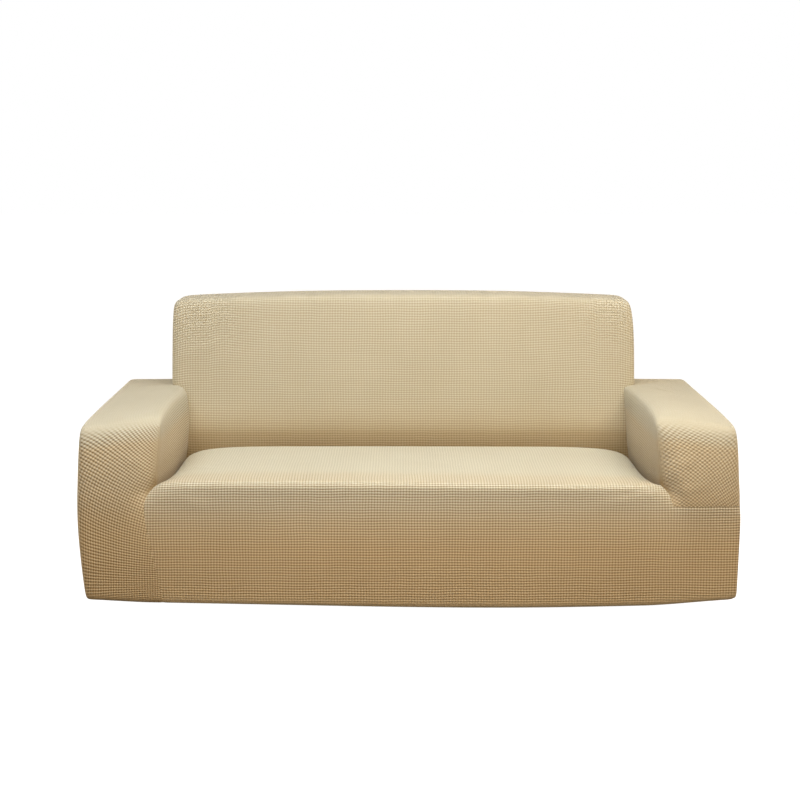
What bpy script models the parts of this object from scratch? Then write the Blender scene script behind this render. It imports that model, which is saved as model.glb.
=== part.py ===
"""A fitted stretch slipcover for a two-seat sofa, as it sits when pulled on.

The cover is five sewn cloths: seat and front, two arm covers, backrest cover and rear panel.
One quad cage follows the covered sofa. Subdivision rounds it, and each cloth is then cut from
that skin along its seams and given its thickness.
Metres, +X to the right seen from the front, +Y to the rear, +Z up.
"""

import math

import bmesh
import bpy
from mathutils import Vector

# Main sizes of the covered sofa. Heights are above the floor, depths from the front face.
WIDTH = 1.710
DEPTH = 0.840
HEM_HEIGHT = 0.129
FRONT_SEAM_HEIGHT = 0.388
SEAT_HEIGHT = 0.442
SEAT_DEPTH = 0.588
ARM_HEIGHT = 0.624
ARM_WIDTH = 0.222
BACK_HEIGHT = 0.871
BACK_WIDTH = 1.350

# The cloth itself.
THICKNESS = 0.0025
SEAM_INSET = 0.00024
MITRE_LIMIT = 1.4

# How far before an edge the cloth starts to round. The hem turns under as far as the
# outermost lines: ARM_ROUND in front, OUTER_ROUND at the sides, BACK_REAR_ROUND behind.
ARM_ROUND = 0.050
OUTER_ROUND = 0.034
BACK_ROUND = 0.050
BACK_REAR_ROUND = 0.040
HEM_ROUND = 0.016
TUCK_MARGIN = 0.021

# Lines of the cage between those edges, where the cloth only bows.
SEAT_QUARTER_X = 0.31
SEAT_FRONT_THIRD_Y = 0.22
SEAT_REAR_THIRD_Y = 0.39
DROP_MIDDLE_HEIGHT = 0.30
FRONT_TUCK_HEIGHT = 0.415
BACK_MIDDLE_HEIGHT = 0.755

# Soft form: how the cloth leaves the straight box.
BACK_LEAN = 0.078
BACK_CROWN = 0.022
BACK_CROWN_REACH = 0.10
BACK_END_DROP = 0.020
BACK_OFFSET = -0.012
SEAT_CROWN = 0.012
SEAT_CROWN_REACH = 0.10
SEAT_SLOPE = 0.010
SEAT_SLOPE_START = -0.30
SEAT_SLOPE_END = 0.40
FRONT_BULGE = 0.014
FRONT_BULGE_BELOW = 0.25
FRONT_BULGE_ABOVE = 0.12
ARM_FRONT_BULGE = 0.010
ARM_REAR_DROP = 0.022
ARM_OUTER_DROP = 0.032
REAR_BULGE = 0.006
HEM_DROP_REACH = 0.12
HEM_DROP_LOST_AT_REAR = 0.6
NARROWING_DEPTH = 0.22

# The front top edge of an arm is a wide soft round, tighter towards its outer corner.
ARM_EDGE_SOFTNESS = 0.030
ARM_EDGE_SPREAD = 0.010
OUTER_TIGHTNESS = 0.8
OUTER_TIGHT_FROM = 0.79

# The tucks, where the cloth is pushed down between seat, arms and backrest.
TUCK_DEPTH = 0.046
TUCK_UNDERCUT = 0.010
TUCK_ROLL = 0.008
TUCK_RUNS_IN = (-0.04, 0.12)
FRONT_TUCK_DEPTH = 0.026

# How sharp subdivision leaves a seam: 1 for a tuck, less for the lower front corners.
TUCK_SHARPNESS = 1.0
CORNER_SHARPNESS = 0.6
SHADING_ANGLE = 50.0

# The arm front narrows below this height, towards the cross seam.
ARM_NARROWING = [
    # height above the floor, outward shift of the arm's inner edge
    (0.388, 0.050),
    (0.415, 0.034),
    (0.442, 0.020),
    (0.478, 0.008),
    (0.540, 0.000),
]

# The hem hangs lowest right of the middle.
HEM_LINE = [
    # place across the front, drop of the hem
    (-0.850, 0.000),
    (-0.720, 0.008),
    (-0.200, 0.016),
    (0.160, 0.024),
    (0.480, 0.022),
    (0.650, 0.016),
    (0.780, 0.006),
    (0.850, 0.000),
]

# The outer sides swell around the seam's height and draw in at the hem, most on the left.
SIDE_SWELL = [
    # height above the floor, outward swell of the left side, of the right side
    (0.129, -0.018, -0.004),
    (0.145, -0.012, -0.003),
    (0.300, 0.003, 0.001),
    (0.388, 0.002, 0.003),
    (0.490, -0.003, -0.004),
    (0.574, -0.006, -0.006),
    (0.624, -0.013, -0.015),
]

# The ends of the backrest draw in towards its top corners, more on the right.
BACK_ENDS = [
    # height above the floor, pull of the left end, pull of the right end
    (0.755, 0.000, 0.000),
    (0.821, 0.002, 0.006),
    (0.871, 0.007, 0.016),
]

# The mount under the backrest's top is the origin of the part.
MOUNT_DEPTH = 0.770
MOUNT_HEIGHT = BACK_HEIGHT - THICKNESS

SEAT_FRONT = "seat_front_panel"
ARM_LEFT = "arm_cover_left"
ARM_RIGHT = "arm_cover_right"
BACK = "back_cover"
REAR = "rear_panel"
PANELS = [SEAT_FRONT, ARM_LEFT, ARM_RIGHT, BACK, REAR]

CLOTH_COLOURS = {
    # panel: base colour of the beige knit, as linear red, green, blue
    SEAT_FRONT: (0.515, 0.366, 0.207),
    ARM_LEFT: (0.500, 0.352, 0.198),
    ARM_RIGHT: (0.500, 0.352, 0.198),
    BACK: (0.520, 0.375, 0.218),
    REAR: (0.480, 0.340, 0.190),
}
CLOTH_ROUGHNESS = 0.92
CLOTH_METALLIC = 0.0

ARM_INNER_X = WIDTH / 2 - ARM_WIDTH
BACK_SIDE_X = BACK_WIDTH / 2
TINY = 1e-4


def clear_scene():
    """Remove every object that a new file starts with."""
    for old in list(bpy.data.objects):
        bpy.data.objects.remove(old, do_unlink=True)


def table_value(table, place, column=1):
    """Read a column of a short table at a place, straight between its rows."""
    if place <= table[0][0]:
        return table[0][column]
    for low, high in zip(table, table[1:]):
        if place <= high[0]:
            share = (place - low[0]) / (high[0] - low[0])
            return low[column] + share * (high[column] - low[column])
    return table[-1][column]


def hump(place, low, high):
    """A smooth hump: 0 at low and high, 1 halfway."""
    share = min(1.0, max(0.0, (place - low) / (high - low)))
    return math.sin(math.pi * share)


def ease(place, low, high):
    """Rise smoothly from 0 at low to 1 at high."""
    share = min(1.0, max(0.0, (place - low) / (high - low)))
    return share * share * (3.0 - 2.0 * share)


def cut(bm, axis, place):
    """Add a grid line all round the cage, square to an axis."""
    normal = Vector((axis == "x", axis == "y", axis == "z"))
    bmesh.ops.bisect_plane(
        bm,
        geom=bm.verts[:] + bm.edges[:] + bm.faces[:],
        dist=TINY,
        plane_co=normal * place,
        plane_no=normal,
    )


def raise_faces(bm, chosen, height):
    """Extrude a group of upward faces straight up to a height."""
    bm.normal_update()
    old_faces = [face for face in bm.faces if chosen(face)]
    grown = bmesh.ops.extrude_face_region(bm, geom=old_faces)["geom"]
    for item in grown:
        if isinstance(item, bmesh.types.BMVert):
            item.co.z = height
    bmesh.ops.delete(bm, geom=[face for face in old_faces if face.is_valid], context="FACES")


def box_cage():
    """The straight-sided cage: a base box, raised at the arms and again at the backrest."""
    bm = bmesh.new()
    bmesh.ops.create_cube(bm, size=1.0)
    base_height = SEAT_HEIGHT - HEM_HEIGHT
    bmesh.ops.scale(bm, vec=(WIDTH, DEPTH, base_height), verts=bm.verts)
    centre = (0.0, DEPTH / 2, HEM_HEIGHT + base_height / 2)
    bmesh.ops.translate(bm, vec=centre, verts=bm.verts)

    across = [
        SEAT_QUARTER_X,
        ARM_INNER_X - TUCK_MARGIN,
        ARM_INNER_X,
        BACK_SIDE_X,
        BACK_SIDE_X + TUCK_MARGIN,
        WIDTH / 2 - OUTER_ROUND,
    ]
    cut(bm, "x", 0.0)
    for place in across:
        cut(bm, "x", place)
        cut(bm, "x", -place)
    deep = [
        ARM_ROUND,
        SEAT_FRONT_THIRD_Y,
        SEAT_REAR_THIRD_Y,
        SEAT_DEPTH - TUCK_MARGIN,
        SEAT_DEPTH,
        SEAT_DEPTH + BACK_ROUND,
        DEPTH - BACK_REAR_ROUND,
    ]
    for place in deep:
        cut(bm, "y", place)
    base_lines = [HEM_HEIGHT + HEM_ROUND, DROP_MIDDLE_HEIGHT, FRONT_SEAM_HEIGHT, FRONT_TUCK_HEIGHT]
    for place in base_lines:
        cut(bm, "z", place)

    raise_faces(bm, in_arms_or_back, ARM_HEIGHT)
    for place in (SEAT_HEIGHT + TUCK_MARGIN, ARM_HEIGHT - ARM_ROUND):
        cut(bm, "z", place)
    raise_faces(bm, in_back, BACK_HEIGHT)
    for place in (ARM_HEIGHT + TUCK_MARGIN, BACK_MIDDLE_HEIGHT, BACK_HEIGHT - BACK_ROUND):
        cut(bm, "z", place)
    open_bottom(bm)
    return bm


def in_arms_or_back(face):
    """Upward faces of the base under the arms and the backrest."""
    centre = face.calc_center_median()
    over_arm = abs(centre.x) > ARM_INNER_X
    return face.normal.z > 0.5 and (over_arm or centre.y > SEAT_DEPTH)


def in_back(face):
    """Upward faces at arm height under the backrest."""
    centre = face.calc_center_median()
    in_depth = SEAT_DEPTH < centre.y < DEPTH
    above_seat = centre.z > SEAT_HEIGHT + TINY
    return face.normal.z > 0.5 and above_seat and in_depth and abs(centre.x) < BACK_SIDE_X


def open_bottom(bm):
    """Leave only the turned-under hem of the bottom, mitred square at its four corners."""
    corner_crease = bm.verts.layers.float.new("crease_vert")
    bm.normal_update()
    side_line = WIDTH / 2 - OUTER_ROUND
    rear_line = DEPTH - BACK_REAR_ROUND
    middle = []
    corners = []
    for face in bm.faces:
        centre = face.calc_center_median()
        if face.normal.z > -0.5:
            continue
        at_side = abs(centre.x) > side_line
        at_end = centre.y < ARM_ROUND or centre.y > rear_line
        if at_side and at_end:
            corners.append(face)
        elif not at_side and not at_end:
            middle.append(face)
    bmesh.ops.delete(bm, geom=middle, context="FACES")
    for face in corners:
        by_reach = sorted(face.verts, key=lambda vert: abs(vert.co.x) + abs(vert.co.y - DEPTH / 2))
        bmesh.utils.face_split(face, by_reach[0], by_reach[-1])
        by_reach[0][corner_crease] = 1.0


def panel_of(face):
    """Name the cloth that a face of the straight cage belongs to.

    The left arm cloth runs down to the hem in front, and the right one ends in a cross seam.
    """
    centre = face.calc_center_median()
    normal = face.normal
    arm = ARM_LEFT if centre.x < 0.0 else ARM_RIGHT
    left_front = centre.x < -ARM_INNER_X
    if normal.z < -0.5:
        to_side = WIDTH / 2 - abs(centre.x)
        in_front_hem = centre.y < ARM_ROUND and centre.y < to_side * ARM_ROUND / OUTER_ROUND
        if in_front_hem and not left_front:
            return SEAT_FRONT
        from_rear = DEPTH - centre.y
        if from_rear < BACK_REAR_ROUND and from_rear < to_side * BACK_REAR_ROUND / OUTER_ROUND:
            return REAR
        return arm
    if normal.y > 0.5:
        return REAR
    if normal.z > 0.5:
        if centre.z > ARM_HEIGHT + TINY:
            return BACK
        return arm if centre.z > SEAT_HEIGHT + TINY else SEAT_FRONT
    if normal.y < -0.5:
        if centre.y > TINY:
            return BACK
        on_right_arm = centre.x > ARM_INNER_X and centre.z > FRONT_SEAM_HEIGHT
        return arm if left_front or on_right_arm else SEAT_FRONT
    return BACK if centre.z > ARM_HEIGHT else arm


def is_valley(edge):
    """Whether a seam lies in an inward corner of the straight cage, where the cloth is tucked."""
    if len(edge.link_faces) != 2:
        return False
    first, second = edge.link_faces
    across = second.calc_center_median() - first.calc_center_median()
    return first.normal.dot(across) > TINY and second.normal.dot(across) < -TINY


def mark_seams(bm):
    """Give every face its cloth, and keep the tucked seams sharp."""
    crease = bm.edges.layers.float.new("crease_edge")
    bm.normal_update()
    for face in bm.faces:
        face.material_index = PANELS.index(panel_of(face))
        face.smooth = True
    for edge in bm.edges:
        cloths = {face.material_index for face in edge.link_faces}
        if len(cloths) < 2:
            continue
        middle = (edge.verts[0].co + edge.verts[1].co) / 2
        in_front = middle.y < TINY
        at_corner = abs(middle.x) > WIDTH / 2 - TINY
        beside_arm = abs(abs(middle.x) - ARM_INNER_X) < TINY
        if is_valley(edge) and middle.y < DEPTH - BACK_REAR_ROUND:
            edge[crease] = TUCK_SHARPNESS
        elif in_front and beside_arm and FRONT_SEAM_HEIGHT < middle.z < SEAT_HEIGHT:
            edge[crease] = TUCK_SHARPNESS
        elif in_front and at_corner and middle.z < FRONT_SEAM_HEIGHT:
            edge[crease] = CORNER_SHARPNESS


def narrowed(place):
    """The arm's inner edge moves outwards towards the cross seam, most at the front."""
    reach = abs(place.x)
    if place.z >= ARM_NARROWING[-1][0] or reach < TINY:
        return 0.0
    below = ease(place.z, HEM_HEIGHT, FRONT_SEAM_HEIGHT)
    shift = table_value(ARM_NARROWING, place.z) * below
    at_front = 1.0 - ease(place.y, 0.0, NARROWING_DEPTH)
    if reach >= ARM_INNER_X:
        spread = (WIDTH / 2 - reach) / ARM_WIDTH
    else:
        spread = ease(reach, SEAT_QUARTER_X, ARM_INNER_X)
    return math.copysign(shift * at_front * spread, place.x)


def softened(place):
    """The push that rounds the front top edge of an arm."""
    push = Vector((0.0, 0.0, 0.0))
    reach = abs(place.x)
    on_top = abs(place.z - ARM_HEIGHT) < TINY
    in_front = place.y < TINY
    if reach < ARM_INNER_X - TINY:
        return push
    soft = 1.0 - OUTER_TIGHTNESS * ease(reach, OUTER_TIGHT_FROM, WIDTH / 2)
    if on_top and in_front:
        push.y = ARM_EDGE_SOFTNESS * soft
        push.z = -ARM_EDGE_SOFTNESS * soft
    elif on_top and abs(place.y - ARM_ROUND) < TINY:
        push.z = -ARM_EDGE_SPREAD * soft
    elif in_front and abs(place.z - ARM_HEIGHT + ARM_ROUND) < TINY:
        push.y = ARM_EDGE_SPREAD * soft
    return push


def shaped(place):
    """Move a point of the straight cage to where the stretched cloth lies."""
    out = place.copy()
    reach = abs(place.x)
    side = math.copysign(1.0, place.x)
    above_seat = place.z > SEAT_HEIGHT + TINY
    back_line = abs(place.y - SEAT_DEPTH) < TINY or abs(place.y - SEAT_DEPTH - BACK_ROUND) < TINY
    over_back = reach < BACK_SIDE_X + TINY and place.y > SEAT_DEPTH - TINY

    if above_seat and back_line:
        rise = (place.z - SEAT_HEIGHT) / (BACK_HEIGHT - SEAT_HEIGHT)
        out.y += BACK_LEAN * rise
        crown = 1.0 - (min(reach, BACK_SIDE_X) / BACK_SIDE_X) ** 2
        out.y -= BACK_CROWN * crown * hump(place.z, SEAT_HEIGHT, BACK_HEIGHT + BACK_CROWN_REACH)
    if over_back and place.z > BACK_HEIGHT - TINY:
        out.z -= BACK_END_DROP * (reach / BACK_SIDE_X) ** 4
    if over_back and place.z > ARM_HEIGHT - TINY:
        out.x += BACK_OFFSET
        if reach > BACK_SIDE_X - TINY:
            out.x -= side * table_value(BACK_ENDS, place.z, 1 if side < 0.0 else 2)

    on_arm = reach > ARM_INNER_X - TINY and place.z > ARM_HEIGHT - ARM_ROUND - TINY
    if on_arm and place.z < ARM_HEIGHT + TINY:
        out.z -= ARM_REAR_DROP * place.y / DEPTH
        outer = ease(reach, BACK_SIDE_X, WIDTH / 2)
        out.z -= ARM_OUTER_DROP * outer * (1.0 - place.y / DEPTH)

    on_seat = abs(place.z - SEAT_HEIGHT) < TINY and reach < ARM_INNER_X - TINY
    if on_seat and place.y < SEAT_DEPTH - TINY:
        width_share = 1.0 - (reach / ARM_INNER_X) ** 2
        out.z += SEAT_CROWN * width_share * hump(place.y, -SEAT_CROWN_REACH, SEAT_DEPTH)
        to_right = ease(place.x, SEAT_SLOPE_START, SEAT_SLOPE_END)
        out.z -= SEAT_SLOPE * to_right * (1.0 - place.y / SEAT_DEPTH)
        beside_tuck = max(reach - ARM_INNER_X, place.y - SEAT_DEPTH) > -TUCK_MARGIN - TINY
        if beside_tuck and place.y > TINY:
            out.z += TUCK_ROLL

    if abs(place.y) < TINY:
        whole = 1.0 - (reach / (WIDTH / 2)) ** 2
        low_end = HEM_HEIGHT - FRONT_BULGE_BELOW
        high_end = SEAT_HEIGHT + FRONT_BULGE_ABOVE
        out.y -= FRONT_BULGE * whole * hump(place.z, low_end, high_end)
        if place.z > FRONT_SEAM_HEIGHT:
            out.y -= ARM_FRONT_BULGE * hump(reach, ARM_INNER_X, WIDTH / 2)
    if abs(place.y - DEPTH) < TINY:
        out.y += REAR_BULGE * hump(place.z, HEM_HEIGHT, BACK_HEIGHT)

    if reach > WIDTH / 2 - TINY:
        column = 1 if side < 0.0 else 2
        out.x += side * table_value(SIDE_SWELL, place.z, column)

    near_hem = 1.0 - ease(place.z, HEM_HEIGHT, HEM_HEIGHT + HEM_DROP_REACH)
    to_front = 1.0 - HEM_DROP_LOST_AT_REAR * place.y / DEPTH
    out.z -= table_value(HEM_LINE, place.x) * near_hem * to_front
    out.x += narrowed(place)
    return out


def tucked(place):
    """The push of a tucked seam into the valley between seat, arm and backrest."""
    reach = abs(place.x)
    side = math.copysign(1.0, place.x)
    push = Vector((0.0, 0.0, 0.0))
    at_seat = abs(place.z - SEAT_HEIGHT) < TINY
    beside_arm = abs(reach - ARM_INNER_X) < TINY and place.y < SEAT_DEPTH + TINY
    under_back = abs(place.y - SEAT_DEPTH) < TINY and reach < ARM_INNER_X + TINY
    if at_seat and (beside_arm or under_back):
        deep_share = ease(place.y, *TUCK_RUNS_IN)
        push.z -= TUCK_DEPTH * deep_share
        if beside_arm:
            push.x += side * TUCK_UNDERCUT * (2.0 * deep_share - 1.0)
        if under_back:
            push.y += TUCK_UNDERCUT
    if beside_arm and place.y < TINY:
        rise = SEAT_HEIGHT - FRONT_SEAM_HEIGHT
        push.y += FRONT_TUCK_DEPTH * hump(place.z, FRONT_SEAM_HEIGHT, SEAT_HEIGHT + rise)
    return push


def shape_cage(bm):
    """Shape every point of the cage, worked out from its straight place."""
    for vert in bm.verts:
        straight = vert.co.copy()
        vert.co = shaped(straight) + softened(straight) + tucked(straight)


def smooth_skin(bm):
    """Round the cage by subdivision and return the skin as a mesh."""
    cage_mesh = bpy.data.meshes.new("cover_cage")
    bm.to_mesh(cage_mesh)
    cage = bpy.data.objects.new("cover_cage", cage_mesh)
    bpy.context.collection.objects.link(cage)
    rounding = cage.modifiers.new("rounding", "SUBSURF")
    rounding.levels = 1
    rounding.render_levels = 1
    depsgraph = bpy.context.evaluated_depsgraph_get()
    skin = bpy.data.meshes.new_from_object(cage.evaluated_get(depsgraph))
    bpy.data.objects.remove(cage, do_unlink=True)
    return skin


def draw_back_from_seams(bm, outward):
    """Move the border of a cloth a hair inwards, so that sewn pieces stay apart."""
    moves = {}
    for edge in bm.edges:
        if not edge.is_boundary:
            continue
        face = edge.link_faces[0]
        along = (edge.verts[1].co - edge.verts[0].co).normalized()
        inward = face.normal.cross(along)
        middle = (edge.verts[0].co + edge.verts[1].co) / 2
        if inward.dot(face.calc_center_median() - middle) < 0.0:
            inward.negate()
        for vert in edge.verts:
            moves.setdefault(vert, []).append(inward)
    for vert, inwards in moves.items():
        total = sum(inwards, Vector())
        if total.length < TINY:
            continue
        corner = max(total.length / len(inwards), 0.5)
        inward = total.normalized()
        rise = inward.dot(Vector(vert[outward]).normalized())
        fold = max(math.sqrt(max(1.0 - rise * rise, 0.0)), 0.35)
        vert.co += inward * SEAM_INSET / (corner * fold)


def cloth_solid(skin, name):
    """Cut one cloth from the skin and give it its thickness towards the inside."""
    bm = bmesh.new()
    bm.from_mesh(skin)
    bm.normal_update()
    outward = bm.verts.layers.float_vector.new("outward")
    for vert in bm.verts:
        vert[outward] = vert.normal * min(vert.calc_shell_factor(), MITRE_LIMIT)
    index = PANELS.index(name)
    others = [face for face in bm.faces if face.material_index != index]
    bmesh.ops.delete(bm, geom=others, context="FACES")
    draw_back_from_seams(bm, outward)
    inside = bmesh.ops.extrude_face_region(bm, geom=bm.faces[:], use_keep_orig=True)["geom"]
    for item in inside:
        if isinstance(item, bmesh.types.BMVert):
            item.co -= Vector(item[outward]) * THICKNESS
    bmesh.ops.recalc_face_normals(bm, faces=bm.faces[:])
    bmesh.ops.translate(bm, vec=(0.0, -MOUNT_DEPTH, -MOUNT_HEIGHT), verts=bm.verts)
    for face in bm.faces:
        face.material_index = 0
    mesh = bpy.data.meshes.new(name)
    bm.to_mesh(mesh)
    bm.free()
    mesh.shade_smooth()
    mesh.set_sharp_from_angle(angle=math.radians(SHADING_ANGLE))
    return mesh


def cloth_material(name):
    """The beige knit of one cloth."""
    material = bpy.data.materials.new(name + "_knit")
    material.use_nodes = True
    shader = material.node_tree.nodes["Principled BSDF"]
    shader.inputs["Base Color"].default_value = (*CLOTH_COLOURS[name], 1.0)
    shader.inputs["Roughness"].default_value = CLOTH_ROUGHNESS
    shader.inputs["Metallic"].default_value = CLOTH_METALLIC
    return material


def build():
    """Build the cage, round it, and sew out the five cloths."""
    clear_scene()
    bm = box_cage()
    mark_seams(bm)
    shape_cage(bm)
    skin = smooth_skin(bm)
    bm.free()
    for name in PANELS:
        mesh = cloth_solid(skin, name)
        mesh.materials.clear()
        mesh.materials.append(cloth_material(name))
        piece = bpy.data.objects.new(name, mesh)
        bpy.context.collection.objects.link(piece)
    bpy.data.meshes.remove(skin)


build()
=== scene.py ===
# %% [markdown]
# # A stretch slipcover for a two-seat sofa
# The cover is a beige waffle knit, pulled tight over arms and backrest and tucked in round the
# seat. It is sewn from five cloths: seat and front, two arm covers, backrest cover and rear
# panel. Each cloth is rebuilt here as a thin sheet on the frame's own shape, finer than the
# frame, with soft pulls at its tucks, a grain that follows the stretch, and the waffle in its
# material.

import math

import bmesh
import bpy
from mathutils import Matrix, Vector
from mathutils.kdtree import KDTree


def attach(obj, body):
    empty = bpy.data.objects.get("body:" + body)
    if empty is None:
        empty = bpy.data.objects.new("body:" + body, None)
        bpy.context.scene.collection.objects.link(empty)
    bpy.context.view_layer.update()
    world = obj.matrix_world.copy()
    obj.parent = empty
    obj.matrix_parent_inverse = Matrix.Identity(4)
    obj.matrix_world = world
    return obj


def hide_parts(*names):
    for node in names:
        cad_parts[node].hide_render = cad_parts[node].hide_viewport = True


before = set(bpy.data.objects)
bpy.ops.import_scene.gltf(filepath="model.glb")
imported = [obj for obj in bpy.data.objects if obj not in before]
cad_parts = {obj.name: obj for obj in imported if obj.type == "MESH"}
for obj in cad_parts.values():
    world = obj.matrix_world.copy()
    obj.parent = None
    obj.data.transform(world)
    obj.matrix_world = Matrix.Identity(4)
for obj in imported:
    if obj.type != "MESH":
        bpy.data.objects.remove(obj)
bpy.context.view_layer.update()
print("frame nodes:", sorted(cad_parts))

# %% [markdown]
# ## Sizes
# A fitted cover has the sizes of what it stretches over, so it is measured when it is on.
# Heights run up from the floor and depths back from the front face, as a cutter would measure.
# At the end everything moves to the frame's origin, which is under the top of the backrest.
# Short tables say how the outline wanders, because a straight box would look too hard.

# %% Main sizes of the fitted cover
WIDTH = 1.710
DEPTH = 0.840
HEM_HEIGHT = 0.129
SEAM_HEIGHT = 0.388
SEAT_HEIGHT = 0.442
SEAT_DEPTH = 0.588
ARM_HEIGHT = 0.624
ARM_WIDTH = 0.222
BACK_HEIGHT = 0.871
BACK_WIDTH = 1.350
THICKNESS = 0.0025
ORIGIN = Vector((0.0, 0.770, BACK_HEIGHT - THICKNESS))

ARM_INNER_X = WIDTH / 2 - ARM_WIDTH
BACK_SIDE_X = BACK_WIDTH / 2
TINY = 1e-4
print("arm inner edge at", round(ARM_INNER_X, 3), "m, backrest end at", BACK_SIDE_X, "m")

# %% How far before an edge the cloth starts to round
ARM_ROUND = 0.050
OUTER_ROUND = 0.034
BACK_ROUND = 0.050
REAR_ROUND = 0.040
HEM_ROUND = 0.016
TUCK_MARGIN = 0.021
print("rounds from", HEM_ROUND, "m at the hem to", ARM_ROUND, "m on the arms")

# %% Grid lines between the edges
SEAT_X = 0.31
FRONT_SEAT_Y = 0.22
REAR_SEAT_Y = 0.39
DROP_Z = 0.30
ROLL_Z = 0.415
UPPER_BACK_Z = 0.755
print("grid lines across the front at", DROP_Z, "and", ROLL_Z, "m")

# %% Tables of the uneven outline
ARM_NARROWING = [
    # height, outward shift of the arm's inner edge
    (SEAM_HEIGHT, 0.050),
    (ROLL_Z, 0.034),
    (SEAT_HEIGHT, 0.020),
    (0.478, 0.008),
    (0.540, 0.000),
]
HEM_LINE = [
    # place across, drop of the hem
    (-0.850, 0.000),
    (-0.720, 0.008),
    (-0.200, 0.016),
    (0.160, 0.024),
    (0.480, 0.022),
    (0.650, 0.016),
    (0.780, 0.006),
    (0.850, 0.000),
]
SIDE_SWELL = [
    # height, outward swell of the left side, of the right side
    (HEM_HEIGHT, -0.018, -0.004),
    (0.145, -0.012, -0.003),
    (DROP_Z, 0.003, 0.001),
    (SEAM_HEIGHT, 0.002, 0.003),
    (0.490, -0.003, -0.004),
    (0.574, -0.006, -0.006),
    (ARM_HEIGHT, -0.013, -0.015),
]
BACK_ENDS = [
    # height, pull of the left end, pull of the right end
    (UPPER_BACK_Z, 0.000, 0.000),
    (0.821, 0.002, 0.006),
    (BACK_HEIGHT, 0.007, 0.016),
]
print("the hem's line has", len(HEM_LINE), "rows")

# %% Read a table, and two soft curves


def read(table, place, column=1):
    """Read a column of a table at a place, straight between its rows."""
    if place <= table[0][0]:
        return table[0][column]
    for low, high in zip(table, table[1:]):
        if place <= high[0]:
            share = (place - low[0]) / (high[0] - low[0])
            return low[column] + share * (high[column] - low[column])
    return table[-1][column]


def hump(place, low, high):
    """Rise from 0 at low to 1 halfway, and back to 0 at high."""
    share = min(1.0, max(0.0, (place - low) / (high - low)))
    return math.sin(math.pi * share)


def ease(place, low, high):
    """Rise smoothly from 0 at low to 1 at high."""
    share = min(1.0, max(0.0, (place - low) / (high - low)))
    return share * share * (3.0 - 2.0 * share)


print("hem hangs", round(read(HEM_LINE, 0.16) * 1000), "mm lower right of the middle")

# %% [markdown]
# ## The cage
# A fitted cover has no free folds: it takes the form of what it dresses and rounds every
# corner. It could be sculpted, but a box modelled by cutting and extruding keeps its edges
# where the seams are, and subdivision then rounds it evenly. So the cage is one cube, cut
# across with grid lines, with the arms and the backrest pulled up out of its top.

# %% Tools for the box
STEEP = 0.5


def cut(bm, axis, place):
    """Add one grid line all round the cage, square to an axis."""
    normal = Vector((axis == "x", axis == "y", axis == "z"))
    everything = bm.verts[:] + bm.edges[:] + bm.faces[:]
    bmesh.ops.bisect_plane(
        bm, geom=everything, dist=TINY, plane_co=normal * place, plane_no=normal
    )


def raise_faces(bm, chosen, height):
    """Pull a group of upward faces straight up to a height."""
    bm.normal_update()
    old = [face for face in bm.faces if chosen(face)]
    for item in bmesh.ops.extrude_face_region(bm, geom=old)["geom"]:
        if isinstance(item, bmesh.types.BMVert):
            item.co.z = height
    bmesh.ops.delete(bm, geom=[face for face in old if face.is_valid], context="FACES")


def under_arms_and_back(face):
    middle = face.calc_center_median()
    return face.normal.z > STEEP and (abs(middle.x) > ARM_INNER_X or middle.y > SEAT_DEPTH)


def under_back(face):
    middle = face.calc_center_median()
    high = face.normal.z > STEEP and middle.z > SEAT_HEIGHT + TINY
    return high and middle.y > SEAT_DEPTH and abs(middle.x) < BACK_SIDE_X


print("a face counts as level where its normal's z is over", STEEP)

# %% Cut and raise the box
cage = bmesh.new()
bmesh.ops.create_cube(cage, size=1.0)
base = SEAT_HEIGHT - HEM_HEIGHT
bmesh.ops.scale(cage, vec=(WIDTH, DEPTH, base), verts=cage.verts)
bmesh.ops.translate(cage, vec=(0.0, DEPTH / 2, HEM_HEIGHT + base / 2), verts=cage.verts)

cut(cage, "x", 0.0)
for place in (SEAT_X, ARM_INNER_X - TUCK_MARGIN, ARM_INNER_X):
    cut(cage, "x", place)
    cut(cage, "x", -place)
for place in (BACK_SIDE_X, BACK_SIDE_X + TUCK_MARGIN, WIDTH / 2 - OUTER_ROUND):
    cut(cage, "x", place)
    cut(cage, "x", -place)
for place in (ARM_ROUND, FRONT_SEAT_Y, REAR_SEAT_Y, SEAT_DEPTH - TUCK_MARGIN):
    cut(cage, "y", place)
for place in (SEAT_DEPTH, SEAT_DEPTH + BACK_ROUND, DEPTH - REAR_ROUND):
    cut(cage, "y", place)
for place in (HEM_HEIGHT + HEM_ROUND, DROP_Z, SEAM_HEIGHT, ROLL_Z):
    cut(cage, "z", place)
raise_faces(cage, under_arms_and_back, ARM_HEIGHT)
for place in (SEAT_HEIGHT + TUCK_MARGIN, ARM_HEIGHT - ARM_ROUND):
    cut(cage, "z", place)
raise_faces(cage, under_back, BACK_HEIGHT)
for place in (ARM_HEIGHT + TUCK_MARGIN, UPPER_BACK_Z, BACK_HEIGHT - BACK_ROUND):
    cut(cage, "z", place)
print("cage:", len(cage.faces), "faces")

# %% [markdown]
# ## The hem
# A real hem is the edge of the cloth turned under all round, so the cover stays open in the
# middle. Deleting the middle of the cage's underside leaves just that turned-under ring.
# Its corners are split along the mitre, so that each cloth keeps its own part of the hem, and
# a creased corner point keeps the opening square.

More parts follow.
